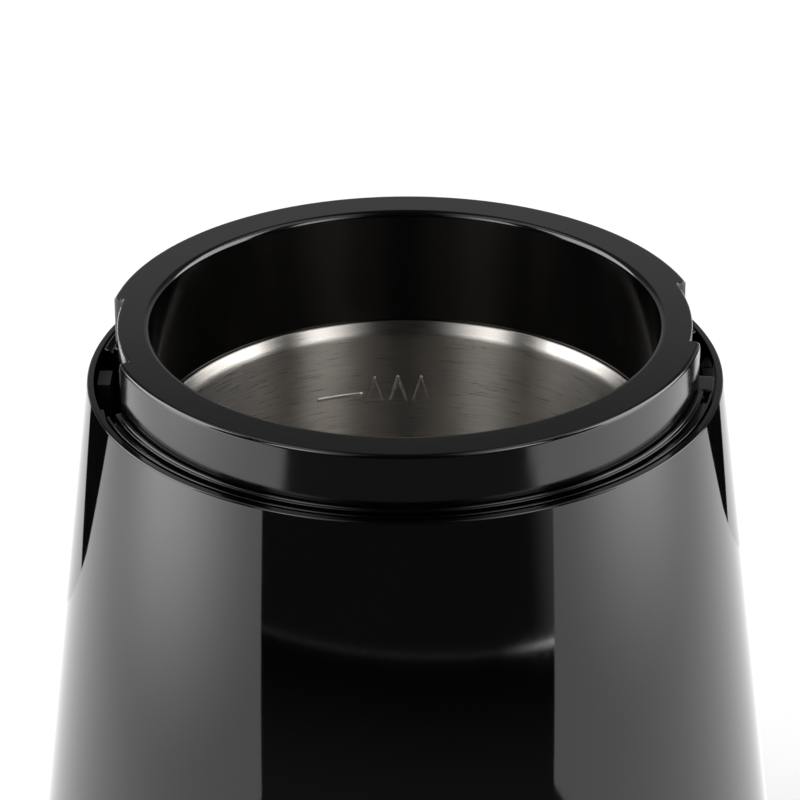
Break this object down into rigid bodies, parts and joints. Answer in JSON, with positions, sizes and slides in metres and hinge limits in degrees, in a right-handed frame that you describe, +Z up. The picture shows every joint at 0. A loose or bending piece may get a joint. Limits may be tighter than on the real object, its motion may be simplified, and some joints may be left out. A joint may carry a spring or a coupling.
{
  "type": "blade coffee grinder base",
  "caption": "Motor base of a blade coffee grinder: tapered glossy housing, bayonet collar with two lid notches, steel grinding bowl, spinning blade and lid interlock.",
  "frame": {"origin": "on the floor under the centre of the housing", "axes": "+Z up along the blade shaft, front towards -Y, +X to the right"},
  "size_m": [0.1174, 0.1174, 0.14],
  "materials": {
    "housing_gloss": "high-gloss moulded black ABS",
    "carrier_gloss": "glossy moulded black, satin top land",
    "bowl_steel": "spun and brushed stainless steel",
    "blade_steel": "ground stainless steel",
    "seal_rubber": "matt silicone rubber",
    "hub_aluminium": "turned aluminium",
    "shaft_steel": "ground steel",
    "lamination_steel": "stacked electrical steel",
    "copper_wire": "enamelled copper winding",
    "commutator_copper": "turned copper bars",
    "fan_nylon": "natural nylon",
    "bearing_bronze": "sintered bronze",
    "bracket_alloy": "die-cast alloy",
    "zinc_screw": "zinc-plated steel",
    "carbon": "graphite",
    "brass": "stamped brass",
    "phenolic": "dark phenolic moulding",
    "spring_steel": "drawn spring wire",
    "plunger_plastic": "dark grey acetal",
    "button_red": "red switch button",
    "capacitor_yellow": "potted capacitor case",
    "fuse_ceramic": "ceramic sleeve",
    "terminal_white": "white polyamide",
    "lead_insulation": "PVC insulation",
    "base_black": "fine-textured black plastic",
    "foot_rubber": "matt rubber"
  },
  "bodies": {
    "base": {"outer_housing": "housing_gloss", "bowl_carrier": "carrier_gloss", "carrier_screws": "zinc_screw", "grinding_bowl": "bowl_steel", "bowl_seal": "seal_rubber", "bowl_hub": "hub_aluminium", "bowl_nut": "zinc_screw", "shaft_seal": "seal_rubber", "upper_bearing": "shaft_steel", "lower_bearing": "bearing_bronze", "upper_motor_bracket": "bracket_alloy", "lower_motor_bracket": "bracket_alloy", "stator_core": "lamination_steel", "field_coil_left": "copper_wire", "field_coil_right": "copper_wire", "motor_bolts": "zinc_screw", "motor_nuts": "zinc_screw", "motor_dampers": "foot_rubber", "motor_mount_screws": "zinc_screw", "brush_holder_front": "brass", "brush_holder_rear": "brass", "brush_spring_front": "spring_steel", "brush_spring_rear": "spring_steel", "brush_cap_front": "phenolic", "brush_cap_rear": "phenolic", "plunger_spring": "spring_steel", "switch_body": "phenolic", "lever_pin": "shaft_steel", "switch_bracket": "bracket_alloy", "switch_screws": "zinc_screw", "bracket_screws": "zinc_screw", "suppression_capacitor": "capacitor_yellow", "thermal_fuse": "fuse_ceramic", "terminal_block": "terminal_white", "terminal_screws": "brass", "internal_leads": "lead_insulation", "base_cover": "base_black", "base_screws": "zinc_screw", "rubber_feet": "foot_rubber", "cord_grommet": "foot_rubber", "cord_clamp": "base_black", "clamp_screws": "zinc_screw"},
    "rotor": {"rotor_shaft": "shaft_steel", "armature_core": "lamination_steel", "armature_windings": "copper_wire", "commutator": "commutator_copper", "cooling_fan": "fan_nylon", "thrust_washer": "fan_nylon", "blade": "blade_steel", "blade_boss": "shaft_steel", "blade_cap_nut": "shaft_steel"},
    "plunger": {"interlock_plunger": "plunger_plastic"},
    "lever": {"switch_lever": "spring_steel"},
    "button": {"switch_button": "button_red"},
    "brush_front": {"carbon_brush_front": "carbon"},
    "brush_rear": {"carbon_brush_rear": "carbon"}
  },
  "joints": [
    {"name": "rotor_spin", "type": "hinge", "parent": "base", "child": "rotor", "pos_m": [0, 0, 0.05], "axis": [0, 0, 1], "continuous": true},
    {"name": "plunger_slide", "type": "slide", "parent": "base", "child": "plunger", "axis": [0, 0, -1], "range_m": [0, 0.004], "stiffness_N_per_m": 300, "springref_m": -0.003, "deforming": ["plunger_spring"]},
    {"name": "lever_swing", "type": "hinge", "parent": "base", "child": "lever", "pos_m": [-0.03907, 0.01303, 0.079], "axis": [0.9997, -0.0262, 0], "range_deg": [0, 19.2]},
    {"name": "button_press", "type": "slide", "parent": "base", "child": "button", "axis": [0, 0, -1], "range_m": [0, 0.00136]},
    {"name": "brush_front_slide", "type": "slide", "parent": "base", "child": "brush_front", "axis": [0, -1, 0], "range_m": [0, 0.0025], "stiffness_N_per_m": 300, "springref_m": -0.004, "deforming": ["brush_spring_front"]},
    {"name": "brush_rear_slide", "type": "slide", "parent": "base", "child": "brush_rear", "axis": [0, 1, 0], "range_m": [0, 0.0025], "stiffness_N_per_m": 300, "springref_m": -0.004, "deforming": ["brush_spring_rear"]}
  ],
  "couplings": [
    {"joint": "lever_swing", "follows": "plunger_slide", "rad_per_m": 83.724},
    {"joint": "button_press", "follows": "plunger_slide", "ratio": 0.338}
  ]
}
